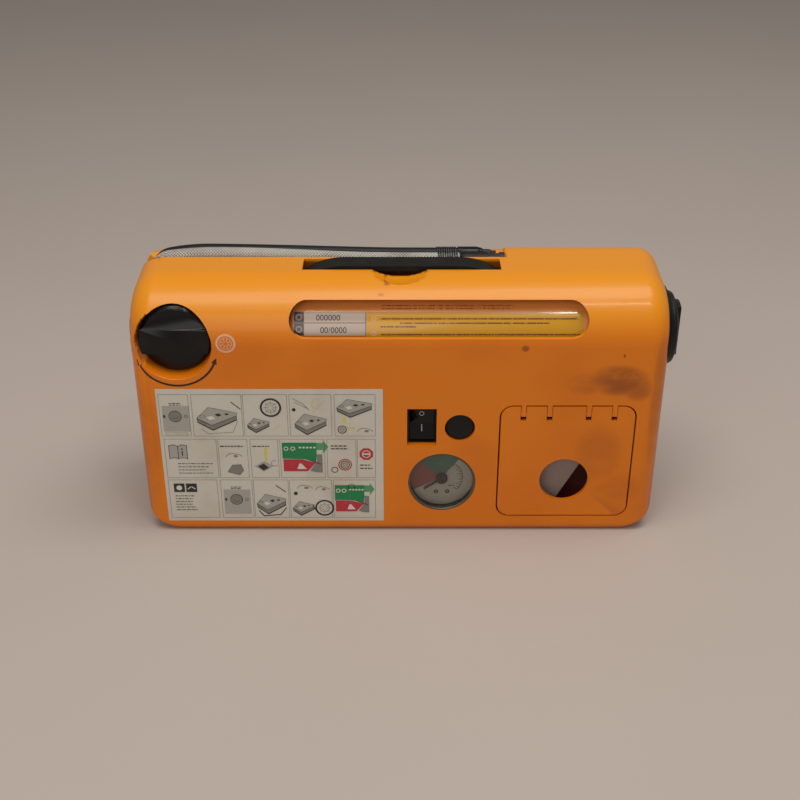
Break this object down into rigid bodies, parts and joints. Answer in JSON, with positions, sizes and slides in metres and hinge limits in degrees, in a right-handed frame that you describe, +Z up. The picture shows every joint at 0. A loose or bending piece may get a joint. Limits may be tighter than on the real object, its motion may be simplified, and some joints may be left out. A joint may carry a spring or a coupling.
{
  "type": "portable tyre compressor",
  "caption": "Boxy plastic tyre compressor on its long side, with sealant cartridge window, gauge, rocker switch, selector knob, hoses in a groove and carry strap.",
  "frame": {"origin": "centre of the case's bottom face, on the surface it stands on", "axes": "+X to the right along the case's length seen from the front panel, +Y from the front panel to the back, +Z up"},
  "size_m": [0.3142, 0.0881, 0.161],
  "materials": {
    "orange_case": "moulded orange polypropylene, satin, used",
    "black_plastic": "black moulded plastic, satin",
    "gloss_black": "black moulded plastic, glossy",
    "grey_plastic": "grey moulded plastic",
    "clear_bottle": "clear bottle, brown with sealant",
    "sealant": "reddish brown latex sealant",
    "label_yellow": "printed label",
    "strap_rubber": "charcoal flexible strap",
    "white_braid": "light grey braid over rubber hose",
    "black_hose": "black rubber hose",
    "spring_steel": "zinc plated spring wire",
    "steel": "bare steel",
    "zinc_screw": "zinc plated",
    "brass": "machined brass",
    "aluminium": "cast aluminium",
    "lens": "clear lens",
    "dial_face": "silver dial with red and green sectors",
    "printed_sheet": "laminated off-white sheet",
    "grey_card": "grey card",
    "seal_rubber": "black seal rubber",
    "nylon_gear": "natural nylon"
  },
  "bodies": {
    "case": {"front_shell": "orange_case", "rear_shell": "orange_case", "case_screws": "zinc_screw", "selector_valve_body": "black_plastic", "switch_body": "black_plastic", "switch_terminals": "brass", "deflation_valve_body": "black_plastic", "gauge_body": "black_plastic", "gauge_bezel": "steel", "gauge_lens": "lens", "gauge_dial": "dial_face", "gauge_stem": "brass", "storage_tub": "orange_case", "stored_leaflet": "grey_card", "motor_can": "steel", "motor_end_cap": "black_plastic", "gearbox_frame": "aluminium", "cylinder_barrel": "aluminium", "cylinder_head": "aluminium", "head_screws": "zinc_screw", "white_hose": "white_braid", "black_hose": "black_hose", "white_hose_spring": "spring_steel", "black_hose_spring": "spring_steel", "white_connector": "black_plastic", "white_connector_cap": "grey_plastic", "black_connector": "black_plastic", "black_nozzle": "grey_plastic", "hose_outlets": "black_plastic", "delivery_tube": "black_hose", "gauge_tube": "black_hose", "instruction_sticker": "printed_sheet", "lead_gland": "black_plastic"},
    "selector": {"selector_knob": "gloss_black", "selector_spindle": "black_plastic"},
    "cartridge_turner": {"cartridge_socket": "grey_plastic"},
    "cartridge": {"sealant_bottle": "clear_bottle", "sealant_fill": "sealant", "bottle_label": "label_yellow", "cartridge_neck": "grey_plastic", "cartridge_cap": "black_plastic", "cap_seal_ring": "seal_rubber"},
    "handle": {"carry_handle": "strap_rubber"},
    "rocker": {"switch_rocker": "gloss_black"},
    "button": {"deflation_button": "black_plastic"},
    "needle": {"gauge_needle": "gloss_black"},
    "lid": {"compartment_lid": "orange_case", "lid_hinge_pins": "steel"},
    "rotor": {"motor_shaft": "steel", "motor_pinion": "brass"},
    "crank": {"crank_gear": "nylon_gear", "gear_arbor": "steel", "crank_pin": "steel"},
    "pump_piston": {"piston": "aluminium", "piston_seal": "seal_rubber", "connecting_rod": "black_plastic"}
  },
  "joints": [
    {"name": "selector_turn", "type": "hinge", "parent": "case", "child": "selector", "pos_m": [-0.1273, -0.032, 0.1256], "axis": [0, 1, 0], "range_deg": [0, 180]},
    {"name": "cartridge_turn", "type": "hinge", "parent": "case", "child": "cartridge_turner", "pos_m": [-0.08, -0.013, 0.1224], "axis": [1, 0, 0], "range_deg": [0, 60]},
    {"name": "cartridge_pull", "type": "slide", "parent": "cartridge_turner", "child": "cartridge", "axis": [1, 0, 0], "range_m": [0, 0.225]},
    {"name": "handle_lift", "type": "slide", "parent": "case", "child": "handle", "axis": [0, 0, 1], "range_m": [0, 0.0035]},
    {"name": "rocker_tip", "type": "hinge", "parent": "case", "child": "rocker", "pos_m": [0.0127, -0.034, 0.07235], "axis": [1, 0, 0], "range_deg": [0, 14]},
    {"name": "button_press", "type": "slide", "parent": "case", "child": "button", "axis": [0, 1, 0], "range_m": [0, 0.003], "stiffness_N_per_m": 300},
    {"name": "needle_turn", "type": "hinge", "parent": "case", "child": "needle", "pos_m": [0.0249, -0.038, 0.0345], "axis": [0, 1, 0], "range_deg": [0, 255], "stiffness_Nm_per_rad": 0.00005},
    {"name": "lid_open", "type": "hinge", "parent": "case", "child": "lid", "pos_m": [0.0973, -0.04275, 0.0807], "axis": [-1, 0, 0], "range_deg": [0, 95]},
    {"name": "motor_spin", "type": "hinge", "parent": "case", "child": "rotor", "pos_m": [-0.045, -0.018, 0.065], "axis": [1, 0, 0], "continuous": true},
    {"name": "crank_spin", "type": "hinge", "parent": "case", "child": "crank", "pos_m": [-0.08, 0.012, 0.065], "axis": [1, 0, 0], "continuous": true},
    {"name": "piston_stroke", "type": "slide", "parent": "case", "child": "pump_piston", "axis": [0, 0, 1], "range_m": [0, 0.018]}
  ],
  "couplings": [
    {"joint": "motor_spin", "follows": "crank_spin", "ratio": -4}
  ]
}
